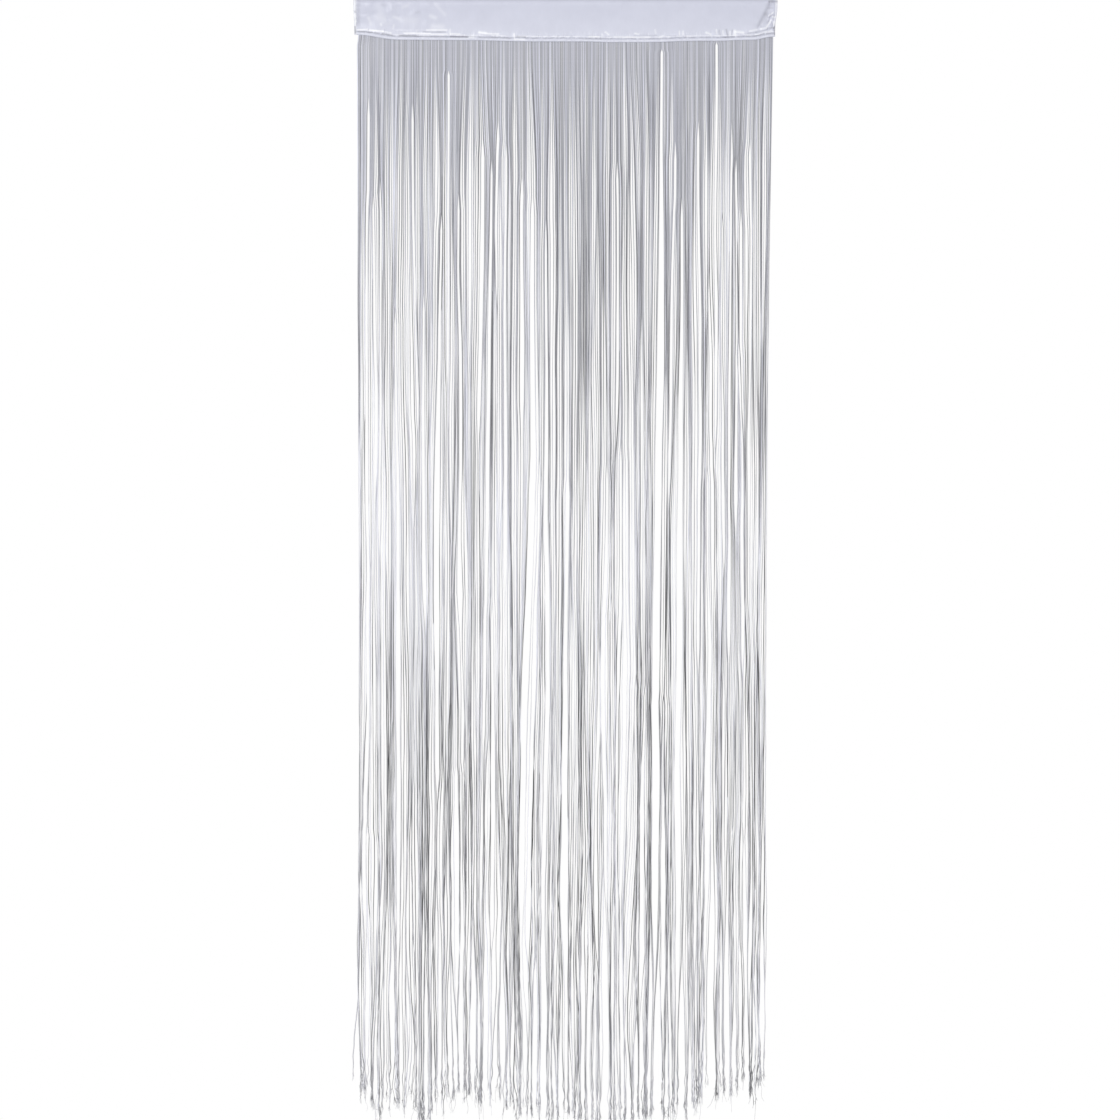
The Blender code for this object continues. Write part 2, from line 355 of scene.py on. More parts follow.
# The relief of the front's cloth: the places of the clear gathers along x, and how many fine
# gathers and slanted waves lie between and above them
GATHERS = (
    -0.192, -0.181, -0.168, -0.155, -0.108, 0.053, 0.066, 0.083, 0.093, 0.142, 0.151,
    0.238, 0.252, 0.288, 0.301, 0.316, 0.329, 0.342, 0.359, 0.371, 0.38,
)
FINE_GATHERS = 70
DIMPLE_WAVES = 16
RELIEF_SEED = 11
relief_draw = np.random.default_rng(RELIEF_SEED)
dimple_lengths = relief_draw.uniform(0.02, 0.056, DIMPLE_WAVES)
dimple_headings = relief_draw.uniform(-1.5, 1.5, DIMPLE_WAVES)
dimple_shifts = relief_draw.uniform(0.0, 2.0 * np.pi, DIMPLE_WAVES)
gather_places = np.concatenate((GATHERS, relief_draw.uniform(-0.43, 0.43, FINE_GATHERS)))


def gather_sizes(clear, fine):
    """Random sizes of the clear gathers and then of the fine ones, each between two limits."""
    clear_sizes = relief_draw.uniform(*clear, len(GATHERS))
    return np.concatenate((clear_sizes, relief_draw.uniform(*fine, FINE_GATHERS)))


gather_heights = gather_sizes((0.0006, 0.0012), (-0.00035, 0.0005))
gather_widths = gather_sizes((0.0028, 0.0046), (0.0022, 0.005))
gather_reaches = gather_sizes((0.012, 0.022), (0.006, 0.016))

# Creases on the front, which also stand out a little in the relief and carry painted highlights and
# painted shade: x and z of both ends and the half width in mm, and how much lighter each one is
# painted than the cloth, or darker if it is below 0
CREASES = (
    (436, 6.5, 425, -21.8, 4.9, -0.4), (425, -21.8, 411, -49.8, 4.9, -0.5),
    (391, -57.7, 415, -53.2, 1.6, 0.7), (415, -53.2, 429, -50.5, 1.6, 0.8),
    (404, -66, 428, -57.7, 1.3, 0.6), (387, -62.4, 404, -60, 1.3, -0.55),
    (404, -60, 428, -54.5, 1.3, -0.75), (384, -68.8, 403, -67.9, 1.3, -0.5),
    (403, -67.9, 421, -62.8, 1.3, -0.75), (359, -57.3, 360, -66.8, 2.3, 0.95),
    (362, -59, 378, -61.1, 2.3, 0.7), (442, -37.5, 443, -47.1, 1.9, 1),
    (440, -27.3, 445, -28, 1.7, 0.9), (441, -18.2, 431, -25, 1.4, 0.75),
    (437, -34.3, 428, -47.1, 1.7, 0.8), (440, -22.6, 431, -28.8, 1.4, -0.6),
    (438, -37.1, 438, -48.4, 1.5, -0.45), (431, -35.2, 428, -39.9, 1.3, -0.55),
    (446, -43, 443, -51.3, 1.5, -1.2), (443, -51.3, 444, -65.4, 1.7, -1.1),
    (429, -52.2, 443, -49.6, 1.5, -0.8), (431, -58.6, 437, -57.3, 1.5, 0.7),
    (427, -62.8, 440, -62.4, 1.7, -0.7), (432, 4.6, 451, 4.6, 1.7, -0.8),
    (430, -9.3, 440, -8.6, 1.3, -0.45), (-448, 12.8, -448, -11.8, 2.1, 0.6),
    (-451, 12.8, -450, -45, 0.7, -0.3), (-448, -21.2, -447, -37.1, 2.1, 0.85),
    (-447, -37.1, -447, -45.6, 1.7, 0.7), (-448, -16.5, -447, -18.2, 1.3, -0.7),
    (-451, -30.5, -450, -33.9, 1.1, -0.8), (-448, -47.9, -447, -61.5, 1.9, -1.1),
    (-441, 6.5, -440, -44.5, 3.8, -0.35), (-442, -54.5, -422, -53.9, 1.5, 0.85),
    (-417, -55.2, -388, -58.1, 1.7, 1.05), (-388, -58.1, -371, -61.5, 1.5, 0.6),
    (-441, -58.6, -423, -59.2, 1.3, -0.95), (-420, -59.8, -411, -60.5, 1.3, -1),
    (-407, -61.1, -396, -62.2, 1.3, -0.7), (-390, -62.8, -369, -66.6, 1.4, -1),
    (-353, -66.8, -317, -67.7, 2.1, -0.9), (-343, -62, -288, -62.4, 1.6, 0.95),
    (-295, -56, -253, -55.6, 1.9, 0.8), (-303, -59.4, -256, -59.2, 1.4, -0.85),
    (-286, -64.1, -251, -64.1, 1.5, 0.8), (-314, -68.5, -251, -69.6, 1.4, -0.75),
    (-245, -69.4, -209, -69.8, 1.5, -1.6), (-246, -54, -246, -66.8, 1.5, 0.52),
    (-245, -63.4, -225, -64.1, 1.6, 0.8), (-205, -70.5, -195, -70.5, 1.9, 0.7),
    (-184, -60.3, -168, -62.4, 2.3, 1), (-165, -63.4, -143, -63.7, 1.7, 0.75),
    (-184, -70.9, -144, -71.9, 1.3, -0.7), (-138, -71.7, -118, -72.8, 1.3, -0.85),
    (-110, -63.2, -108, -76, 1.4, 0.9), (-104, -69.8, -86, -70, 1.5, -0.75),
    (-105, -74.7, -88, -75.3, 1.7, 0.7), (-393, -42.4, -392, -45.4, 2.4, 0.42),
    (-367, -52.2, -365, -44.5, 2.2, 0.32), (-385, -55.6, -385, -58.1, 1.9, -0.4),
    (-379, -30.7, -378, -37.1, 2.6, -0.22), (-390, -1.2, -384, -5.4, 3, -0.22),
    (-346, -7.6, -336, -2.9, 3.4, 0.22), (-365, -28, -354, -31.8, 3.4, 0.24),
    (-318, -18.6, -311, -17.3, 2.8, -0.2), (-287, -25.8, -277, -29.7, 4.2, 0.28),
    (-277, -0.3, -257, -22.6, 3.6, 0.18), (-419, -29.7, -414, -43.5, 3.4, 0.24),
    (-400, -30, -380, -36, 9, 0.18), (-398, -6, -392, -20, 8, 0.12),
    (-345, -36, -320, -34, 9, 0.14), (-282, -48, -262, -48, 6, 0.26),
    (77, -63.7, 78, -67.9, 1.3, 0.55), (84, -59.4, 91, -64.9, 1.5, 0.7),
    (147, -62.8, 155, -64.5, 1.7, 0.7), (190, -54.3, 191, -62.6, 1.3, 0.55),
    (241, -57.3, 242, -65.8, 1.3, 0.65), (249, -57.3, 249, -65.8, 1.3, 0.65),
    (298, -60.7, 308, -64.5, 1.9, 0.7), (320, -54.1, 321, -63.7, 1.3, 0.7),
    (326, -56.2, 327, -65.8, 1.3, -0.7), (334, -56.2, 335, -65.8, 1.3, 0.7),
    (341, -54.1, 344, -66.8, 1.5, -0.8), (349, -58.3, 349, -66.8, 1.5, 0.8),
    (354, -55.2, 353, -65.8, 1.3, -0.7), (335, -70.9, 358, -70, 1.3, -0.9),
    (198, -70.9, 207, -67.9, 1.7, 0.6), (49, -69.8, 70, -70, 1.9, 0.7),
    (35, -74.1, 96, -74.1, 1.1, -0.55), (145, -66.6, 194, -67.1, 1.1, -0.5),
    (103, -70, 179, -70.5, 1.7, 0.55),
)


def settle(x, z):
    """Where a point of the level sleeve comes to hang.

    It is lifted with the hem, leans in towards the foot of either end, and the left end is
    stretched outwards by a millimetre.
    """
    lifted = (hem_line(x) + HEM_DROP) * ease(-0.006 - z, 0.052)
    leaning = SIDE_LEAN * ease(np.abs(x) - 0.4, 0.05) * ease(-0.005 - z, 0.06)
    stretched = 0.001 * ease(-0.425 - x, 0.018)
    return x - np.sign(x) * leaning * np.where(x > 0, 1.0, 0.3) - stretched, z + lifted


def creased(x, z):
    """How much lighter the painted highlights of the creases make the points at x and z, and how
    much darker their painted shade: the sum of a bell across each crease.

    The bell takes the distance from the point to the nearest place on the crease's line.
    """
    total = np.zeros(np.broadcast(x, z).shape)
    for x0, z0, x1, z1, reach, light in np.array(CREASES) / 1000.0:
        share = ((x - x0) * (x1 - x0) + (z - z0) * (z1 - z0)) / ((x1 - x0) ** 2 + (z1 - z0) ** 2)
        share = np.clip(share, 0.0, 1.0)
        distance = np.hypot(x - x0 - share * (x1 - x0), z - z0 - share * (z1 - z0))
        total += 1000.0 * light * bell(distance, reach)
    return total


# Where the relief fades out below the rod, the corner from which the draw folds fan out, and the
# crumpled strip beside the right end
RELIEF_TOP = 0.104
FAN_X = 0.4475
FAN_HEIGHT = 0.01
CRUMPLED_X = (0.4285, 0.4435)
# How high above the hem's edge the middle of the roll and of the ridge lie, and how far the ridge
# stands off the front and the back
ROLL_MIDDLE = 0.0027
RIDGE_MIDDLE = 0.0108
FRONT_RIDGE = 0.00115
BACK_RIDGE = 0.0006


def front_relief(x, run):
    """How far the front of the sleeve stands off its smooth wall, at x and a run up the cloth.

    The sum of: slow slack waves; soft dimples, which are sixteen slanted waves with a finer one
    on each, and are strong at the left end; short upright gathers above the seam; draw folds
    that fan out from the right corner; crumpled upright folds and a slanting valley beside the
    right end; and the creases.
    """
    across, up = np.meshgrid(x, run, indexing="ij")
    along = across / SLEEVE_WIDTH + 0.5
    share = np.clip(up / wall_head_height, 0.0, 1.0)
    slack = np.sin(6.0 * np.pi * along) + 0.45 * np.sin(10.0 * np.pi * along + 1.0)
    slack = 0.0009 * slack * np.sqrt(np.clip(np.sin(np.pi * along), 0.0, 1.0))
    slack = slack * np.sin(np.pi * share)
    off_rod = ease(RELIEF_TOP - up, 0.03)
    above_seam = ease(up - 0.0085, 0.008)
    ahead = across[..., None] * np.cos(dimple_headings) + up[..., None] * np.sin(dimple_headings)
    phase = ahead * 2.0 * np.pi / dimple_lengths + dimple_shifts
    dimples = 0.3 * np.sin(phase).sum(-1) + 0.07 * np.sin(2.7 * phase + 1.3).sum(-1)
    left = 0.1 + 0.9 * ease(-0.215 - across, 0.115)
    right = 0.55 * ease(across - 0.355, 0.05)
    winding = np.sin(across / 0.013 + 2.0 * np.sin(up / 0.017))
    strength = 0.65 + 0.35 * winding * np.sin(up / 0.011 + 1.0)
    dimples = 0.00085 * dimples * strength * (left + right) * off_rod * above_seam
    spread = bell(across[..., None] - gather_places, gather_widths)
    gone = 1.0 - ease(up[..., None] - 0.0125, gather_reaches)
    gathers = (gather_heights * spread * gone).sum(-1) * ease(up - 0.007, 0.0035)
    toward = FAN_X - across
    above = up - FAN_HEIGHT
    distance = np.hypot(toward, above)
    turn = np.arctan2(above, toward)
    fan = np.sin(13.0 * turn + 0.8) + 0.6 * np.sin(23.0 * turn + 2.1)
    fan = 0.0012 * fan * np.exp(-distance / 0.036) * (1.0 - bell(distance, 0.01)) * off_rod
    strip_start, strip_end = (ease(across - edge, 0.003) for edge in CRUMPLED_X)
    crumple = np.sin(2.0 * np.pi * (across - 0.43) / 0.0074 + 1.7 * np.sin(up / 0.0105))
    crumple = crumple * (0.65 + 0.35 * np.sin(up / 0.0062))
    crumple = 0.0013 * crumple * strip_start * (1.0 - strip_end) * above_seam * off_rod
    valley = (across - 0.4095) - (up - 0.02) * 0.43
    valley = -0.0024 * bell(valley, 0.0056) * ease(up - 0.018, 0.01) * off_rod
    creases = 0.00035 * creased(*settle(across, up - HEM_DROP)) * ease(up - 0.007, 0.003)
    return slack + dimples + gathers + fan * ease(up - 0.006, 0.006) + crumple + valley + creases


def seam_relief(x, run, ridge):
    """The hem's relief: a bell for the roll below the seam and one for the ridge above it.

    Both swell and shrink along x. The side hems stand proud by one layer of cloth, and the cloth
    draws in at their seam and beside it.
    """
    across, up = np.meshgrid(x, run, indexing="ij")
    swell = 1.0 + 0.2 * np.sin(across / 0.011) + 0.16 * np.sin(across / 0.0043 + 1.0)
    beat = np.sin(across / 0.0071) * np.sin(across / 0.031 + 1.0)
    other = 1.0 + 0.34 * np.sin(across / 0.0127 + 2.0) + 0.3 * beat
    other = other + 0.2 * np.sin(across / 0.0034 + 0.5)
    roll = 0.001 * swell * bell(up - ROLL_MIDDLE, 0.0015)
    crest = ridge * other * bell(up - RIDGE_MIDDLE, 0.0019)
    outward = np.abs(across)
    double = 0.0003 * ease(outward - 0.443, 0.001) * ease(up - 0.0015, 0.002)
    plump = 0.00085 * bell(outward - 0.4472, 0.0018) * ease(up - 0.012, 0.006)
    drawn = -0.0003 * bell(outward - 0.4432, 0.0011) * ease(up - 0.01, 0.004)
    on_wall = ease(up - 0.014, 0.012) * ease(0.098 - up, 0.03)
    drawn = drawn - 0.0015 * bell(outward - 0.437, 0.0085) * on_wall
    return roll + crest + double + plump + drawn


def side_points(x, section, relief, side):
    """Points of one side of the sleeve: its section plus the relief along each row's way, hung.

    side is -1 at the front and 1 at the back. The turning follows its own depth at the side
    hems, and the roll blends from the turning's shift to the outer cloth's.
    """
    depth, z, way, run, share = section
    turned = ease(SIDE_HEM_EDGE - np.abs(x), 0.0022)[:, None]
    inner = (TURNING_DEPTH_AT_SIDES - TURNING_DEPTH) * (1.0 - turned)
    at_roll = relief[:, np.argmax(share >= 1.0)][:, None]
    shift = np.where(share < 1.0, (1.0 - share) * inner + share * at_roll, relief)
    across, hung_z = settle(x[:, None], z[None])
    hung_y = side * (depth + way[:, 0] * shift)
    return np.stack((across, hung_y, hung_z + way[:, 1] * shift), axis=-1)


def sleeve_points(x):
    """The whole sleeve at x, from the front's turning over the rod to the back's turning."""
    front_run = front_section[3]
    back_run = back_section[3]
    front = front_relief(x, front_run) + seam_relief(x, front_run, FRONT_RIDGE)
    up_share = np.clip(back_run / wall_head_height, 0.0, 1.0)
    slow = 0.0005 * np.sin(x / 0.061)[:, None] * np.sin(np.pi * up_share)
    back = slow + seam_relief(x, back_run, BACK_RIDGE)
    points_front = side_points(x, front_section, front, -1.0)
    points_back = side_points(x, back_section, back, 1.0)
    return np.concatenate((points_front, points_back[:, -2::-1]), axis=1)


def wrong_side(points):
    """Unit vectors from the cloth's face to its wrong side.

    They are the run's direction, turned by a quarter in the YZ plane.
    """
    line = np.gradient(points, axis=1)
    turned = np.stack((np.zeros(line.shape[:2]), line[..., 2], -line[..., 1]), axis=-1)
    return turned / np.linalg.norm(turned, axis=-1)[..., None]


def grid_quads(rows, columns, closed=False):
    """Corner numbers of the quads of a grid of points. A closed one joins its last column on."""
    row = np.arange(rows - 1)[:, None] * columns
    column = np.arange(columns if closed else columns - 1)[None, :]
    after = (column + 1) % columns
    corners = (row + column, row + columns + column, row + columns + after, row + after)
    return np.stack(corners, axis=-1).reshape(-1, 4)


def make_piece(name, points, faces, uv=None, attributes=None):
    """A smooth-shaded mesh object from an (n, 3) array of points and arrays of face corners.

    uv gives one (u, v) pair per face corner, and attributes one number per point.
    """
    corners = np.concatenate([part.ravel() for part in faces])
    sizes = np.concatenate([np.full(len(part), part.shape[1]) for part in faces])
    mesh = bpy.data.meshes.new(name)
    mesh.vertices.add(len(points))
    mesh.vertices.foreach_set("co", points.astype(np.float32).ravel())
    mesh.loops.add(len(corners))
    mesh.loops.foreach_set("vertex_index", corners.astype(np.int32))
    mesh.polygons.add(len(sizes))
    mesh.polygons.foreach_set("loop_start", (np.cumsum(sizes) - sizes).astype(np.int32))
    mesh.update(calc_edges=True)
    if uv is not None:
        layer = mesh.uv_layers.new(name="cloth_run")
        layer.data.foreach_set("uv", uv.astype(np.float32).ravel())
    for key, values in (attributes or {}).items():
        kept = mesh.attributes.new(key, "FLOAT", "POINT")
        kept.data.foreach_set("value", values.astype(np.float32).ravel())
    mesh.validate()
    mesh.shade_smooth()
    piece = bpy.data.objects.new(name, mesh)
    bpy.context.scene.collection.objects.link(piece)
    return piece


# Columns of points along x, which lie closest at the side hems. Those of the side hems fold round
# and come back on the wrong side, where inset is how far they lie behind the face.
dense_end = np.array((
    0.4388, 0.4402, 0.4413, 0.4422, 0.443, 0.4437, 0.4443, 0.4449, 0.4457, 0.4466, 0.4476, 0.4486
))
fold_x = SLEEVE_WIDTH / 2 - 0.0002 - SIDE_FOLD_RADIUS
fold_turn = np.radians((-90.0, -45.0, 0.0, 45.0, 90.0))
turned_in = (0.448, 0.446, SIDE_HEM_EDGE)
end_x = np.concatenate((dense_end, fold_x + SIDE_FOLD_RADIUS * np.cos(fold_turn), turned_in))
end_inset = np.concatenate((
    np.zeros(len(dense_end)),
    SIDE_FOLD_RADIUS * (1.0 + np.sin(fold_turn)),
    np.full(len(turned_in), 2.0 * SIDE_FOLD_RADIUS),
))
close_x = np.linspace(0.402, 0.437, 32)
middle_x = np.concatenate((-close_x[::-1], np.linspace(-0.4, 0.4, 400), close_x))
sleeve_x = np.concatenate((-end_x[::-1], middle_x, end_x))
sleeve_inset = np.concatenate((end_inset[::-1], np.zeros(len(middle_x)), end_inset))
cloth_face = sleeve_points(sleeve_x)
cloth_back = wrong_side(cloth_face)
cloth_grid = cloth_face + cloth_back * sleeve_inset[:, None, None]
sleeve_u = lengths_of(np.stack((sleeve_x, sleeve_inset), 1))
sleeve_v = lengths_of(cloth_face[len(sleeve_x) // 2])
sleeve_uv = np.stack(np.meshgrid(sleeve_u, sleeve_v, indexing="ij"), axis=-1).reshape(-1, 2)
sleeve_quads = grid_quads(*cloth_grid.shape[:2])
crease_light_and_shade = creased(cloth_face[..., 0], cloth_face[..., 2]) * (cloth_face[..., 1] < 0.0)
sleeve = make_piece(
    "satin_sleeve", cloth_grid.reshape(-1, 3), [sleeve_quads], sleeve_uv[sleeve_quads.ravel()],
    {"crease": crease_light_and_shade.ravel()},
)

front_row = front_face + int(np.argmin(np.abs(front_heights - STITCH_HEIGHT)))
back_row = back_face + int(np.argmin(np.abs(back_heights - STITCH_HEIGHT)))
back_row = cloth_face.shape[1] - 1 - back_row
satin, shader, wire = new_material(
    "white_satin", Roughness=0.42, Sheen_Weight=0.12, Sheen_Roughness=0.35, Specular_IOR_Level=0.45
)
place = wire.cloth_run()
solid = wire.solid()
cloudy = solid.noise(38.0, 3.0)
streaks = place.scaled(900.0, 60.0, 1.0).noise(1.0, 2.0)
tone = (0.65 * cloudy + 0.35 * streaks).between(0.35, 0.65)
run_up = wire.node("ShaderNodeSeparateXYZ", {}, {0: place}, "Y")
along = wire.node("ShaderNodeSeparateXYZ", {}, {0: solid}, "X")
wander = solid.noise(95.0, 2.0) - 0.5
from_front_seam = run_up - float(sleeve_v[front_row])
from_back_seam = float(sleeve_v[back_row]) - run_up
from_seam = from_front_seam.reckon("MINIMUM", from_back_seam) + 0.0026 * wander
short_patches = solid.noise(150.0, 2.0).between(0.36, 0.62)
other_patches = solid.noise(78.0, 3.0).between(0.4, 0.6)
long_patches = solid.noise(26.0, 3.0).between(0.36, 0.6)
gather_light_and_shade = place.scaled(420.0, 75.0, 1.0).noise(1.0, 2.0)

# Lines at a distance up the cloth from the seam, broken up by the patches. The second ones are
# painted shade and a painted highlight along the second row of folds, which lies about SECOND_X.
SECOND_X = -0.309
# Painted shade in the seam's groove, partly the darker line of its thread and needle holes
seam_groove_shade = from_seam.line_at(0.0004, 0.002) * (0.2 + 0.5 * short_patches + 0.35 * long_patches)
# Painted highlight along the ridge above the seam
ridge_highlight = from_seam.line_at(0.0043, 0.0023) * (0.25 + 0.75 * other_patches)
# Painted highlight along the roll below the seam
roll_highlight = from_seam.line_at(-0.004, 0.002) * (0.2 + 0.8 * short_patches)
# A band beside the seam in which the gathers get painted highlights and painted shade
gather_paint_band = from_seam.line_at(0.005, 0.013) * (0.35 + 0.65 * other_patches)
second_fold_shade = from_seam.line_at(0.0108, 0.0014) * other_patches
second_fold_shade = second_fold_shade * along.line_at(SECOND_X, 0.058).between(0.0, 0.15)
second_fold_highlight = from_seam.line_at(0.015, 0.003) * short_patches
second_fold_highlight = second_fold_highlight * along.line_at(SECOND_X, 0.07).between(0.0, 0.3)
# Painted highlight on the strip of each side hem
side_hem_highlight = along.reckon("ABSOLUTE").between(0.4438, 0.4446)
# Up the cloth from either seam towards the rod the colour darkens: painted shade on the sleeve's
# upper part
shade_towards_rod = from_seam.between(0.004, 0.06)
cloth_colour = tone.mix((0.603, 0.616, 0.712), (0.64, 0.654, 0.752))
cloth_colour = shade_towards_rod.mix(cloth_colour, tone.mix((0.566, 0.58, 0.68), (0.593, 0.607, 0.709)))

# Painted shade and painted highlights that lie over the cloth's own colour, in this order: its
# mask, its strength and its colour
for mask, strength, colour in (
    (seam_groove_shade, 0.9, (0.27, 0.275, 0.34)),
    (second_fold_shade, 0.4, (0.33, 0.335, 0.4)),
    (roll_highlight, 0.75, (0.8, 0.812, 0.88)),
    (ridge_highlight, 0.95, (0.84, 0.85, 0.91)),
    (gather_paint_band * gather_light_and_shade.between(0.54, 0.66), 0.55, (0.84, 0.85, 0.91)),
    (gather_paint_band * gather_light_and_shade.between(0.46, 0.34), 0.32, (0.33, 0.335, 0.4)),
    (second_fold_highlight, 0.4, (0.8, 0.812, 0.88)),
    (side_hem_highlight, 0.4, (0.9, 0.905, 0.93)),
):
    cloth_colour = (strength * mask).mix(cloth_colour, colour)
# Painted highlights and painted shade along the creases, from their attribute
for strength, colour in ((0.9, (0.93, 0.935, 0.96)), (-0.62, (0.23, 0.23, 0.27))):
    painted_crease = (strength * wire.attribute("crease")).between(0.0, 1.0)
    cloth_colour = painted_crease.mix(cloth_colour, colour)
cloth_colour.into(shader, "Base Color")
(0.34 + 0.14 * streaks).into(shader, "Roughness")
weave = 0.1 * place.waves("X", 1250.0, 0.4) + 0.05 * place.waves("Y", 520.0, 0.4)
(weave + solid.noise(210.0, 3.0)).raise_face(shader, 0.35, 0.0003)
sleeve.data.materials.append(satin)

# The wrong side faces the rod's tunnel: it is duller, and light from outside glows through it
wrong_face, shader, wire = new_material(
    "satin_wrong_side", Roughness=0.6, Specular_IOR_Level=0.25, Subsurface_Weight=0.85,
    Subsurface_Radius=(1.0, 1.0, 1.0), Subsurface_Scale=0.0025,
)
dull = wire.cloth_run().scaled(300.0, 900.0, 1.0).noise(1.0, 2.0).between(0.35, 0.65)
dull.mix((0.64, 0.654, 0.752), (0.69, 0.702, 0.79)).into(shader, "Base Color")
sleeve.data.materials.append(wrong_face)
stiffener = sleeve.modifiers.new("cloth_thickness", "SOLIDIFY")
stiffener.thickness = CLOTH
stiffener.offset = 0.0
stiffener.material_offset = 1
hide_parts("header_sleeve")
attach(sleeve, "header")


# Knitted tape, the heading of the fringe: a warp-knitted band of polyester, with one upright rib
# for each string. It lies in the hem between the front and the back, and only its lower edge shows.
TAPE_HALF_LENGTH = 0.441
TAPE_HEIGHT = 0.0105
TAPE_HALF_THICKNESS = 0.00044
TAPE_FOOT = 0.0004
STRING_COUNT = 432
STRING_PITCH = 2.0 * TAPE_HALF_LENGTH / STRING_COUNT
TAPE_SIDES = 20


def tube_faces(count, rings, sides):
    """Faces of many tubes: the quads of their walls and one cap at either end."""
    first = np.arange(count)[:, None, None] * rings * sides
    walls = (grid_quads(rings, sides, closed=True)[None] + first).reshape(-1, 4)
    side = np.arange(sides)
    caps = np.stack((side, (rings - 1) * sides + side[::-1]))
    return [walls, (caps[None] + first).reshape(-1, sides)]


tape_x = np.linspace(-TAPE_HALF_LENGTH, TAPE_HALF_LENGTH, 4 * STRING_COUNT + 1)
tape_turn = np.linspace(0.0, 2.0 * np.pi, TAPE_SIDES, endpoint=False)
rib_phase = 2.0 * np.pi * (tape_x + TAPE_HALF_LENGTH) / STRING_PITCH + np.pi
rib = 1.0 + 0.22 * np.cos(rib_phase)[:, None]
squared = np.sign(np.sin(tape_turn)) * np.abs(np.sin(tape_turn)) ** 0.35
rounded = np.sign(np.cos(tape_turn)) * np.abs(np.cos(tape_turn)) ** 0.9
tape_up = TAPE_FOOT + TAPE_HEIGHT / 2 * (1.0 + rounded)
courses = 1.0 + 0.1 * np.cos(2.0 * np.pi * tape_up / 0.0014)
tape_y = TAPE_HALF_THICKNESS * squared * rib * courses
tape_z = hem_line(tape_x)[:, None] + tape_up
tape_points = np.stack((np.broadcast_to(tape_x[:, None], tape_y.shape), tape_y, tape_z), axis=-1)
tape = make_piece(
    "knitted_tape", tape_points.reshape(-1, 3), tube_faces(1, len(tape_x), TAPE_SIDES)
)
tape_finish, shader, wire = new_material("knitted_tape", Roughness=0.8, Sheen_Weight=0.2)
loops_at = wire.solid().scaled(490.0, 200.0, 700.0)
loops = wire.node(
    "ShaderNodeTexVoronoi", {}, {"Vector": loops_at, "Scale": 1.0, "Randomness": 0.35}, "Distance"
)
# Each knitted loop is painted darker towards its edge, where the relief dips: painted shade in the
# hollows between one knitted loop and the next
loops.mix((0.74, 0.745, 0.8), (0.56, 0.565, 0.62)).into(shader, "Base Color")
(1.0 - loops).raise_face(shader, 0.6, 0.0003)
tape.data.materials.append(tape_finish)
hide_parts("fringe_tape")
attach(tape, "header")


# Stitches: polyester sewing thread in lockstitch. The needle thread is on the front of the hem and
# the bobbin thread on its back, and one row round the sleeve holds each side hem.
THREAD_RADIUS = 0.00026
HEM_STITCH = 0.0031
SIDE_STITCH = 0.0026
STITCH_SHARE = 0.8
STITCH_RINGS = 6
THREAD_SIDES = 5
HEM_SEAM_END = 0.4466
# Rows of the outer cloth that a side seam leaves free above the roll, at the front and the back
FREE_ROWS = (15, 8)


def tubes(paths, wide, flat, turn, sides, depthwise=(0.0, 1.0, 0.0)):
    """Rings of points round many paths: (..., rings, 3) gives (..., rings, sides, 3).

    Each ring is an ellipse: its centre, plus wide times the cosine across the path and flat
    times the sine depthwise, both turned about the path by turn.
    """
    line = np.gradient(paths, axis=-2)
    line /= np.linalg.norm(line, axis=-1)[..., None]
    across = np.cross(line, depthwise)
    across /= np.linalg.norm(across, axis=-1)[..., None]
    inward = np.cross(across, line)
    angle = np.linspace(0.0, 2.0 * np.pi, sides, endpoint=False)
    a = np.asarray(wide)[..., None] * np.cos(angle)
    b = np.asarray(flat)[..., None] * np.sin(angle)
    cos_turn = np.cos(np.asarray(turn))[..., None]
    sin_turn = np.sin(np.asarray(turn))[..., None]
    first = (a * cos_turn - b * sin_turn)[..., None] * across[..., None, :]
    second = (a * sin_turn + b * cos_turn)[..., None] * inward[..., None, :]
    return paths[..., None, :] + first + second


def stitch_row(line, outward, stitch):
    """Short stitches along a line of points, which dip into the cloth at their ends.

    The thread's height off the cloth's middle is half the cloth plus its radius times a half
    sine, less nearly one radius.
    """
    run = lengths_of(line)
    count = int(run[-1] / stitch)
    share = np.linspace(0.0, 1.0, STITCH_RINGS)
    at = np.arange(count)[:, None] + 0.5 - STITCH_SHARE / 2 + STITCH_SHARE * share
    at = at * run[-1] / count
    centre = np.stack([np.interp(at, run, line[:, k]) for k in range(3)], axis=-1)
    off = np.stack([np.interp(at, run, outward[:, k]) for k in range(3)], axis=-1)
    height = CLOTH / 2 + THREAD_RADIUS * (1.7 * np.sin(np.pi * share) - 0.9)
    return centre + off * height[None, :, None]


def stitch_piece(name, paths, node):
    """All stitches of one thread as one piece, with thinner ends."""
    radius = np.full(STITCH_RINGS, THREAD_RADIUS)
    radius[[0, -1]] *= 0.75
    rings = tubes(paths, radius, radius, 0.0, THREAD_SIDES)
    faces = tube_faces(len(paths), STITCH_RINGS, THREAD_SIDES)
    piece = make_piece(name, rings.reshape(-1, 3), faces)
    piece.data.materials.append(thread_finish)
    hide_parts(node)
    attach(piece, "header")
    return piece


thread_finish, shader, wire = new_material("sewing_thread", Roughness=0.45, Sheen_Weight=0.15)
twist_at = wire.node(
    "ShaderNodeMapping", {}, {"Vector": wire.solid(), "Rotation": (0.0, 0.7, 0.0)}
)
twist_and_shade = twist_at.waves("X", 900.0)
# Painted shade in the grooves between the thread's plies, where the relief dips
twist_and_shade.mix((0.46, 0.465, 0.54), (0.6, 0.605, 0.68)).into(shader, "Base Color")
twist_and_shade.raise_face(shader, 0.5, 0.0001)

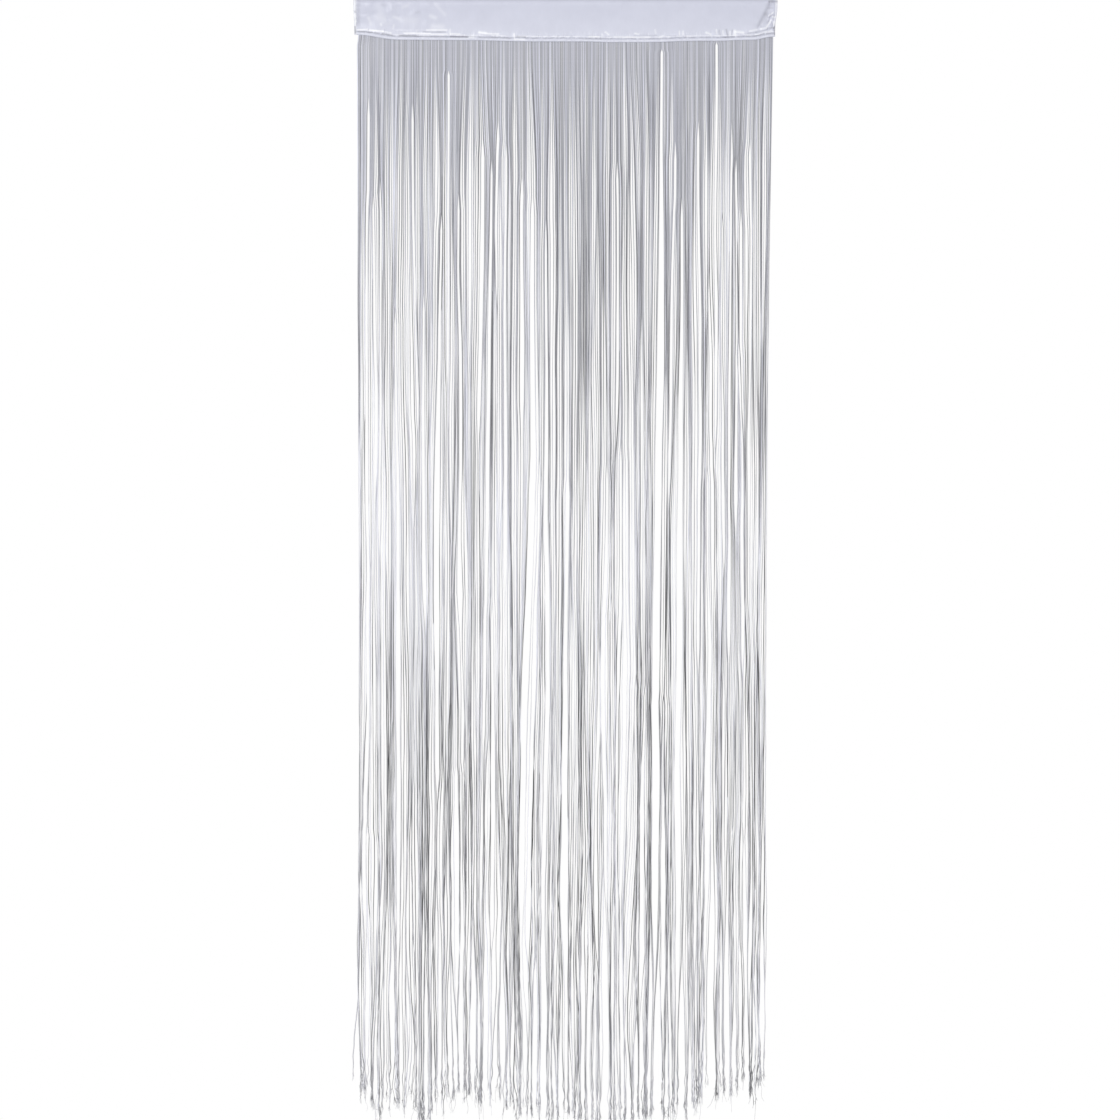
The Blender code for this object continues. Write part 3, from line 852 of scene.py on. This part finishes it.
sewn = (np.abs(sleeve_x) <= HEM_SEAM_END) & (sleeve_inset == 0.0)
for name, row, node in (
    ("needle_stitches", front_row, "hem_needle_thread"),
    ("bobbin_stitches", back_row, "hem_bobbin_thread"),
):
    stitches = stitch_row(cloth_face[sewn, row], -cloth_back[sewn, row], HEM_STITCH)
    stitch_piece(name, stitches, node)
for name, x, node in (
    ("side_stitches_left", -SIDE_SEAM_X, "side_thread_left"),
    ("side_stitches_right", SIDE_SEAM_X, "side_thread_right"),
):
    beside = sleeve_points(np.array((x - 0.0004, x, x + 0.0004)))
    off = -wrong_side(beside)[1]
    rows = slice(front_face + FREE_ROWS[0], beside.shape[1] - back_face - FREE_ROWS[1])
    stitch_piece(name, stitch_row(beside[1, rows], off[rows], SIDE_STITCH), node)


# Strings: 432 of soft polyester yarn about 2 mm wide, knitted into the tape's edge. They cling to
# their neighbours further down, cross a little, and end in a hand-cut trim that has frayed.
GROUPS = 36
PER_GROUP = 12
STRING_LENGTH = 2.3
STRING_SIDES = 6
TOP_HALF_WIDTH = 0.00102
LOW_HALF_WIDTH = 0.00088
TIP_HALF_WIDTH = 0.00098
HALF_THICKNESS = 0.0005

# The trim: places along x, and how far above the longest string's end the lowest tips are there
TRIM = (
    (-0.444, 0.104), (-0.416, 0.062), (-0.395, 0.013), (-0.367, 0.062), (-0.322, 0.016),
    (-0.299, 0.013), (-0.274, 0.05), (-0.214, 0.076), (-0.176, 0.052), (-0.146, 0.06),
    (-0.076, 0.024), (0.073, 0.002), (0.243, 0.014), (0.27, 0.04), (0.294, 0.074),
    (0.332, 0.064), (0.381, 0.072), (0.426, 0.09), (0.441, 0.104),
)

STRING_SEED = 2024
draw = np.random.default_rng(STRING_SEED)
down = np.concatenate((
    np.linspace(0.0, 0.036, 12),
    np.linspace(0.044, 0.1, 6),
    np.linspace(0.135, 1.3, 30),
    np.linspace(1.33, 2.22, 38),
    np.linspace(2.228, STRING_LENGTH, 10),
))


def along_string(*values):
    """A quantity that changes down the strings, from pairs of distance below the hem and value."""
    return np.interp(down, *zip(*values))


def drifts(cycles, count=STRING_COUNT):
    """Smooth random curves, one per string: a sum of sines of the given cycles per metre."""
    phase = draw.uniform(0.0, 2.0 * np.pi, (count, len(cycles), 1))
    size = draw.uniform(0.6, 1.4, (count, len(cycles), 1))
    waves = np.sin(2.0 * np.pi * np.array(cycles)[None, :, None] * down + phase) * size
    return waves.sum(axis=1) / math.sqrt(len(cycles) / 2.0)


def less_average(curves, reach):
    """Curves less their running average over neighbouring strings within reach on either side."""
    before = np.repeat(curves[:1], reach, 0)
    after = np.repeat(curves[-1:], reach + 1, 0)
    total = np.cumsum(np.concatenate((before, curves, after)), axis=0)
    width = 2 * reach + 1
    average = (total[width:] - total[:-width]) / width
    return curves - average[: len(curves)]


# The partings: x of head and foot, distance below the hem at which each opens and closes, and
# width, all in mm
PARTINGS = (
    (-418, -428, 157, 2163, 7.5), (-414, -413, 1715, 2400, 10), (-395, -393, 329, 1118, 5.9),
    (-356, -350, 601, 2400, 8.3), (-325, -320, 147, 888, 7.2), (-303, -299, 542, 1277, 8.9),
    (-265, -276, 376, 1687, 8.9), (-231, -228, 1598, 2400, 7.7), (-223, -220, 338, 1320, 6.5),
    (-157, -172, 259, 1590, 6), (-152, -152, 1228, 1998, 11.1), (-129, -129, 236, 1224, 7.2),
    (-86, -71, 346, 2400, 8.4), (-59, -89, 933, 2023, 9.6), (-40, -40, 410, 2400, 9.4),
    (4, -5, 941, 2400, 12.3), (83, 88, 924, 2400, 8.9), (100, 96, 1211, 2400, 6.8),
    (118, 114, 880, 2400, 10.1), (144, 134, 1362, 2400, 8.2), (168, 160, 1375, 2400, 11.3),
    (205, 189, 15, 2400, 15.5), (213, 214, 1405, 2400, 11.5), (230, 224, 232, 1018, 6.2),
    (247, 243, 346, 2400, 11.1), (313, 308, 944, 2400, 12.5), (321, 313, 2, 929, 7.2),
    (353, 347, 210, 1390, 6.3), (375, 383, 680, 1443, 7.7), (377, 380, 1757, 2400, 11.7),
    (-406, -408, 345, 1010, 5.6), (-250, -250, 67, 800, 5), (-182, -186, 237, 900, 5.2),
    (-142, -143, 188, 620, 4.8), (-93, -95, 302, 860, 5.6), (107, 108, 268, 880, 6),
    (282, 284, 185, 1400, 6.5), (339, 338, 405, 1200, 6), (365, 366, 268, 1100, 7),
    (382, 384, 399, 900, 5), (396, 397, 237, 1300, 6),
)

# Broad areas in which the strings hang darker or lighter: x, distance below the hem, half width and
# half height in mm, and how much darker (below 0) or lighter
AREAS = (
    (-114, 1885, 24, 360, -1), (43, 642, 51, 360, -1), (-407, 795, 51, 360, 0.7),
    (-76, 1500, 24, 360, 0.8), (94, 1640, 34, 360, 0.8), (30, 1568, 24, 360, -0.7),
    (173, 1762, 34, 360, 0.7), (217, 1305, 24, 230, -0.7), (151, 644, 24, 360, -0.7),
    (-312, 1964, 24, 150, -0.8), (-308, 742, 51, 360, 0.6), (-420, 1645, 34, 150, -0.6),
    (192, 769, 24, 360, 0.6), (362, 1606, 24, 150, -0.6), (347, 563, 34, 360, 0.5),
    (-250, 1662, 51, 230, -0.5), (-437, 1290, 8, 330, 1.1),
)

# How wide a parting is within 10 mm of where it opens
QUICK_STEP = 0.0048


def parted(lane):
    """How far each string moves aside for the partings, and with them as they drift.

    Beside a parting a string moves by half its width, and less and less until it is out of
    reach. The width opens with a quick step and a slow one, and closes with a quick one.
    A parting that opens near the hem lies between the two strings at its head.
    """
    moved = np.zeros((STRING_COUNT, len(down)))
    for head, foot, opens, closes, width in np.array(PARTINGS) / 1000.0:
        between = head if opens < 0.25 else (head + foot) / 2
        gap_x = np.round((between + TAPE_HALF_LENGTH) / STRING_PITCH) * STRING_PITCH
        gap_x = gap_x - TAPE_HALF_LENGTH
        line = head + (foot - head) * np.clip((down - opens) / (closes - opens), 0.0, 1.0)
        size = QUICK_STEP * ease(down - opens, 0.01)
        size = size + (width - QUICK_STEP) * ease(down - opens, 0.8)
        size = size * ease(closes - down, 0.1)
        reach = 0.012 + 2.2 * width
        near = ease(1.0 - np.abs(lane - gap_x) / reach)[:, None]
        pushed = np.sign(lane - gap_x)[:, None] * size / 2
        moved += near * (pushed + (line - gap_x) * ease(down, 0.3))
    return moved


def runs(fewest, most):
    """Number of the run that each string is in, where a run is fewest to most strings wide."""
    ends = np.cumsum(draw.integers(fewest, most + 1, STRING_COUNT))
    return np.searchsorted(ends, np.arange(STRING_COUNT), side="right")


def shared(run_of):
    """Smooth random curves, one per run, given to each of the run's strings."""
    count = run_of[-1] + 1
    return (0.72 * draw.normal(size=(count, 1)) + 0.58 * drifts((0.2, 0.5, 1.0), count))[run_of]


# Smaller gaps open between neighbours where a slowly changing random curve is high, mostly between
# the narrow bands in which strings cling together. Broader regions, each of REGION_STRINGS strings,
# add to it.
REGION_STRINGS = 19.0
REGION_COUNT = 36
OPEN_ABOVE = 1.02
lane = (np.arange(STRING_COUNT) + 0.5) * STRING_PITCH - TAPE_HALF_LENGTH
region_at = np.arange(STRING_COUNT) / REGION_STRINGS
region_lots = draw.normal(size=REGION_COUNT)
region = 0.25 * np.interp(region_at, np.arange(REGION_COUNT), region_lots)[:, None]
for x, depth, half_across, half_down, strength in AREAS:
    across = bell(lane[:, None] * 1000 - x, half_across)
    region = region + 1.5 * strength * across * bell(down * 1000 - depth, half_down)
band_of = runs(3, 4)
band_start = np.diff(band_of, prepend=-1)[:, None] > 0
lot = 0.72 * draw.normal(size=(STRING_COUNT, 1)) + 0.8 * drifts((0.13, 0.31, 0.52, 0.83))
lot = less_average(lot, 4) + 0.7 * band_start - 0.16 + 0.22 * region
opening = along_string(
    (0.0, 0.0), (0.06, 0.0003), (0.15, 0.0016), (0.3, 0.0036), (1.1, 0.0047), (1.3, 0.0044),
    (1.7, 0.0046), (1.88, 0.0062), (2.05, 0.0072), (2.3, 0.0058),
)
unevenness = along_string((0.0, 0.02), (0.1, 0.08), (0.5, 0.13), (1.2, 0.17), (2.3, 0.3))
space = STRING_PITCH * (1.0 + unevenness * drifts((0.4, 0.9, 1.6)))
space = space + opening * np.clip((lot - OPEN_ABOVE) / 0.42, 0.0, 1.9)
side_step = np.cumsum(space, axis=0) - space / 2 - TAPE_HALF_LENGTH - lane[:, None]
side_step = less_average(side_step, 11) + parted(lane)

# The strings within a reach of either end don't stray outwards: they draw in towards the middle
LEFT_REACH = 0.045
RIGHT_REACH = 0.06
from_left = lane[:, None] + TAPE_HALF_LENGTH
left_end = ease(1.0 - from_left / LEFT_REACH)
right_end = ease(1.0 - (TAPE_HALF_LENGTH - lane[:, None]) / RIGHT_REACH)
left_in = along_string((0.0, 0.0), (0.8, 0.0005), (1.1, 0.0018), (1.6, 0.0018), (2.1, 0.0))
right_in = along_string(
    (0.0, 0.0), (0.4, 0.0055), (0.8, 0.0095), (1.2, 0.012), (1.9, 0.0125), (2.3, 0.014)
)
left_pull = left_end * (side_step[:1] - left_in)
side_step = side_step - left_pull - right_end * (side_step[-1:] + right_in)
sway = along_string(
    (0.0, 0.0), (0.1, 0.00004), (0.5, 0.0002), (1.2, 0.0004), (1.8, 0.0007), (2.3, 0.0022)
)
kink = along_string((0.0, 0.0), (0.9, 0.00003), (1.5, 0.00015), (2.0, 0.0003), (2.3, 0.0006))
string_x = lane[:, None] + side_step + sway * drifts((1.3, 2.4, 3.3))
string_x += kink * drifts((6.0, 8.5, 11.5))
string_x -= 0.0028 * ease(1.0 - from_left / 0.05) * ease(down, 0.03)

# Near their ends the strings of a bunch draw together, and the outer ones are cut shorter for every
# RANK_STEP that they are away from its middle
RANK_STEP = 0.006
bunch_sizes = draw.integers(3, 9, STRING_COUNT // 3)
bunch_starts = np.cumsum(bunch_sizes) - bunch_sizes
bunch_of = np.searchsorted(bunch_starts, np.arange(STRING_COUNT), side="right") - 1
bunch_count = bunch_of[-1] + 1
bunch_x = np.stack([np.bincount(bunch_of, column) for column in string_x.T], axis=1)
bunch_x /= np.bincount(bunch_of)[:, None]
bunch_pull = draw.uniform(0.42, 0.95, (bunch_count, 1))
bunch_top = draw.uniform(1.7, 2.14, (bunch_count, 1))
bunch_pull = bunch_pull * ease(down - bunch_top, 0.3)
from_centre = string_x - bunch_x[bunch_of]
string_x = string_x - from_centre * bunch_pull[bunch_of]
narrowing = along_string((0.0, 0.0), (0.3, 0.002), (1.2, 0.005), (2.3, 0.007))
string_x *= 1.0 - narrowing * (np.abs(lane[:, None]) / TAPE_HALF_LENGTH) ** 3
layer = along_string((0.0, 0.00004), (0.05, 0.0002), (0.15, 0.001), (0.5, 0.0017), (2.3, 0.0024))
billow = along_string((0.0, 0.0), (0.1, 0.0002), (0.5, 0.001), (1.2, 0.002), (2.3, 0.0034))
string_y = layer * draw.uniform(-1.0, 1.0, (STRING_COUNT, 1)) * 1.3
string_y += billow * drifts((0.4, 0.9, 1.7))
string_y += kink * drifts((7.0, 12.5))
trim = np.interp(lane, *zip(*TRIM))
rank = np.abs(from_centre[:, -1]) / RANK_STEP
cut = trim - 0.014 + 0.016 * draw.beta(1.0, 1.5, STRING_COUNT) + 0.018 * np.minimum(rank, 1.6)
cut += (0.024 * draw.beta(0.8, 1.8, bunch_count))[bunch_of]

# A few strings were cut longer than their neighbours, and these bend away at their tips
LONG_SHARE = 0.085
longer = draw.uniform(0.0, 1.0, STRING_COUNT) < LONG_SHARE
cut = np.maximum(cut - longer * draw.uniform(0.01, 0.042, STRING_COUNT), -0.004)
bend = longer[:, None] * draw.normal(0.0, 0.0045, (STRING_COUNT, 1))
string_x += bend * ease(down - 2.2, 0.12) * (1.0 + 1.2 * np.sin((down - 2.2) * 38.0))
string_top = hem_line(lane) + 0.0006
string_end = -HEM_DROP - STRING_LENGTH + cut
string_z = string_top[:, None] + (string_end - string_top)[:, None] * down / STRING_LENGTH

# How each string looks: its width, how it turns, and its tone, which vary down its length. The tone
# has its lot among neighbours, pairs, bands and regions, and the first strings of a band lie in
# its shade.
half_width = along_string(
    (0.0, TOP_HALF_WIDTH), (0.09, TOP_HALF_WIDTH), (0.4, 0.0009), (1.9, LOW_HALF_WIDTH),
    (2.15, TIP_HALF_WIDTH), (2.3, TIP_HALF_WIDTH),
)
taper = along_string((0.0, 1.0), (2.27, 1.0), (2.292, 0.75), (2.3, 0.35))
half_width = half_width * taper * draw.uniform(0.94, 1.06, (STRING_COUNT, 1))
half_depth = HALF_THICKNESS * taper * draw.uniform(0.9, 1.1, (STRING_COUNT, 1))
turning = along_string((0.0, 0.0), (0.08, 0.05), (0.4, 0.4), (1.0, 0.7), (2.3, 1.2))
turning = turning * drifts((0.5, 1.1, 2.3))
contrast = along_string(
    (0.0, 0.13), (0.05, 0.19), (0.1, 0.28), (0.3, 0.34), (0.7, 0.38), (1.2, 0.42), (1.6, 0.65),
    (1.9, 0.5), (2.1, 0.36), (2.3, 0.25),
)
fine = along_string((0.0, 1.3), (0.2, 0.9), (0.6, 0.3), (2.3, 0.12))
paired = along_string((0.0, 0.05), (0.2, 0.35), (0.6, 0.7), (2.3, 0.85))
banded = along_string((0.0, 0.0), (0.2, 0.05), (0.6, 0.2), (1.2, 0.3), (2.3, 0.35))
regional = along_string((0.0, 0.15), (0.3, 0.5), (2.3, 0.45))
lot_of_tone = fine * less_average(shared(runs(1, 1)), 2)
lot_of_tone = lot_of_tone + paired * less_average(shared(runs(1, 2)), 4)
lot_of_tone = lot_of_tone + banded * shared(band_of) + regional * region
shaded_strings = np.where(np.bincount(band_of) > 3, 2, 1)
into_band = np.arange(STRING_COUNT) - np.searchsorted(band_of, band_of)
in_shade = (into_band < shaded_strings[band_of])[:, None]
shade = along_string(
    (0.0, 0.0), (0.08, 0.05), (0.2, 0.38), (0.5, 1.0), (1.2, 1.2), (1.6, 2.6), (2.0, 1.35),
    (2.3, 0.7),
)
shade_drift = np.clip(0.5 + 0.5 * drifts((0.2, 0.5, 1.1), band_of[-1] + 1), 0.0, 1.2)
shade = shade * in_shade * shade_drift[band_of]
# Near the hem the strings are painted darker: painted shade where they lie packed close together
level = along_string(
    (0.0, 0.7), (0.1, 0.69), (0.175, 0.72), (0.3, 0.78), (0.6, 0.88), (0.855, 0.93), (1.11, 1.16),
    (1.28, 1.13), (1.4, 1.06), (1.54, 1.02), (1.7, 0.98), (1.875, 0.95), (2.1, 1.05), (2.2, 1.01),
    (2.3, 0.94),
)

# A string gets painted shade beside a gap of WIDE_GAP or more, to its left or right, which makes it
# a little darker
WIDE_GAP = 0.0025
gap_open = ease(np.diff(string_x, axis=0) - WIDE_GAP, 0.002)
open_right = np.concatenate((gap_open, gap_open[-1:]))
open_left = np.concatenate((gap_open[:1], gap_open))
string_tone = level * np.exp(contrast * lot_of_tone - shade)
string_tone = np.clip(string_tone * (1.0 - 0.24 * np.maximum(open_right, open_left)), 0.12, 1.16)
string_tint = along_string((0.0, 0.1), (0.2, 0.35), (0.8, 0.7), (2.3, 0.85))
string_tint = np.clip(string_tint + 0.2 * drifts((0.5, 1.1)), 0.0, 1.0)

# The plies that each cut end has frayed into: they spread, bend and curl below the yarn
PLIES = 4
PLY_RINGS = 9
PLY_SIDES = 3
PLY_RADIUS = 0.00056
ply_share = np.linspace(0.0, 1.0, PLY_RINGS)
ply_shape = (STRING_COUNT, PLIES, 1)
long_ply = draw.uniform(0.0, 1.0, ply_shape) < LONG_SHARE
long_length = draw.uniform(0.026, 0.06, ply_shape)
ply_length = np.where(long_ply, long_length, draw.uniform(0.007, 0.024, ply_shape))
ply_spread = draw.normal(0.0, 0.0012, ply_shape) * (1.0 + 3.0 * long_ply)
ply_curl = draw.normal(0.0, 0.0008, ply_shape) * (1.0 + 2.4 * long_ply)
ply_waves = draw.uniform(0.5, 1.4, ply_shape)
ply_start = draw.uniform(0.0, 2.0 * np.pi, ply_shape)
curl = np.sin(2.0 * np.pi * ply_waves * ply_share + ply_start) - np.sin(ply_start)
curl = ply_curl * ply_share * curl
hook = draw.uniform(0.0, 1.0, ply_shape) ** 8 * ease(ply_share - 0.55, 0.45)
ply_x = string_x[:, None, -2:-1] + ply_spread * ply_share**1.4 + curl
ply_y = string_y[:, None, -2:-1] + draw.normal(0.0, 0.0022, ply_shape) * ply_share**1.4
ply_y = ply_y + 0.6 * curl[::-1]
ply_z = string_z[:, None, -2:-1] - ply_length * (ply_share - 0.9 * hook * (ply_share - 0.55))
ply_x = ply_x + np.sign(ply_spread) * hook * 0.004
ply_radius = PLY_RADIUS * (1.0 - 0.45 * ply_share) * draw.uniform(0.75, 1.25, ply_shape)
ply_paths = np.stack((ply_x, ply_y, ply_z), axis=-1)

# The loosened yarn is wavy over its last 90 mm, and its plies start where it ends
tip_wave = along_string((0.0, 0.0), (2.21, 0.0), (2.3, 0.0013)) * drifts((17.0, 26.0))
string_x += tip_wave
ply_paths[..., 0] += tip_wave[:, None, -2:-1]

# One string at the left end stands off to the side at its tip, as in the photo
STRAY_STRING = 1
STRAY_REACH = 0.017
string_x[STRAY_STRING] -= STRAY_REACH * ease(down - 2.1, 0.2)
ply_paths[STRAY_STRING, ..., 0] -= STRAY_REACH

# The knitted edge from which the strings hang: one yarn that snakes round the top of each string
EDGE_RINGS = 8 * PER_GROUP + 1
EDGE_SIDES = 5
EDGE_RADIUS = 0.0003
EDGE_LOOP = 0.00022
EDGE_DEPTH = 0.00055
EDGE_DROP = 0.00035
EDGE_TONE = 0.85
EDGE_TINT = 0.5
edge_step = np.linspace(0.0, PER_GROUP, EDGE_RINGS)
edge_x = np.arange(GROUPS)[:, None] * PER_GROUP + edge_step
edge_x = edge_x * STRING_PITCH - TAPE_HALF_LENGTH
edge_turn = np.pi * edge_step
edge_paths = np.stack((
    edge_x + EDGE_LOOP * np.sin(4.0 * edge_turn),
    np.broadcast_to(EDGE_DEPTH * np.sin(edge_turn), edge_x.shape),
    hem_line(edge_x) - EDGE_DROP + EDGE_LOOP * np.cos(2.0 * edge_turn),
), axis=-1)

yarn, shader, wire = new_material(
    "string_yarn", Roughness=0.55, Sheen_Weight=0.08, Specular_IOR_Level=0.22
)
run = wire.cloth_run()
hue = wire.attribute("tint").mix((0.715, 0.725, 0.815), (0.74, 0.741, 0.768))
tone = wire.attribute("tone") * (0.92 + 0.16 * run.scaled(9.0, 260.0, 1.0).noise(1.0, 3.0))
grey = wire.node("ShaderNodeCombineColor", {}, {0: tone, 1: tone, 2: tone})
multiply = {"data_type": "RGBA", "blend_type": "MULTIPLY"}
wire.node("ShaderNodeMix", multiply, {0: 1.0, 6: hue, 7: grey}, 2).into(shader, "Base Color")
run.scaled(3.0, 420.0, 1.0).waves("DIAGONAL", 0.32).raise_face(shader, 0.5, 0.0002)

string_paths = np.stack((string_x, string_y, string_z), axis=-1)
string_points = tubes(string_paths, half_width, half_depth, turning, STRING_SIDES)
ply_points = tubes(ply_paths, ply_radius, ply_radius, 0.0, PLY_SIDES)
edge_points = tubes(edge_paths, EDGE_RADIUS, EDGE_RADIUS, 0.0, EDGE_SIDES, (0.0, 0.0, 1.0))

# The faces of a group's strings, plies and edge, and how far round its tube each corner is. The
# last quad round a tube ends one full turn on.
faces = []
around = []
first = 0
for tube_count, rings, sides in (
    (PER_GROUP, len(down), STRING_SIDES),
    (PER_GROUP * PLIES, PLY_RINGS, PLY_SIDES),
    (1, EDGE_RINGS, EDGE_SIDES),
):
    walls, caps = tube_faces(tube_count, rings, sides)
    turned = walls % sides / sides
    turned[:, 2:] += turned[:, 2:] < turned[:, :2]
    around += [turned.ravel(), (caps % sides / sides).ravel()]
    faces += [walls + first, caps + first]
    first += tube_count * rings * sides
around = np.concatenate(around)
corners = np.concatenate([face.ravel() for face in faces])

for group in range(GROUPS):
    own = slice(group * PER_GROUP, (group + 1) * PER_GROUP)
    parts = (string_points[own], ply_points[own], edge_points[group])
    points = np.concatenate([part.reshape(-1, 3) for part in parts])
    looks = {}
    for name, values, at_edge in (
        ("tone", string_tone, EDGE_TONE), ("tint", string_tint, EDGE_TINT)
    ):
        looks[name] = np.concatenate((
            np.repeat(values[own].ravel(), STRING_SIDES),
            np.repeat(values[own, -1], PLIES * PLY_RINGS * PLY_SIDES),
            np.full(EDGE_RINGS * EDGE_SIDES, at_edge),
        ))
    uv = np.stack((around, -points[corners, 2]), 1)
    piece = make_piece(f"yarn_{group + 1:02d}", points, faces, uv, looks)
    piece.data.materials.append(yarn)
    node = f"strings_{group + 1:02d}"
    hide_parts(node)
    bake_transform(piece)
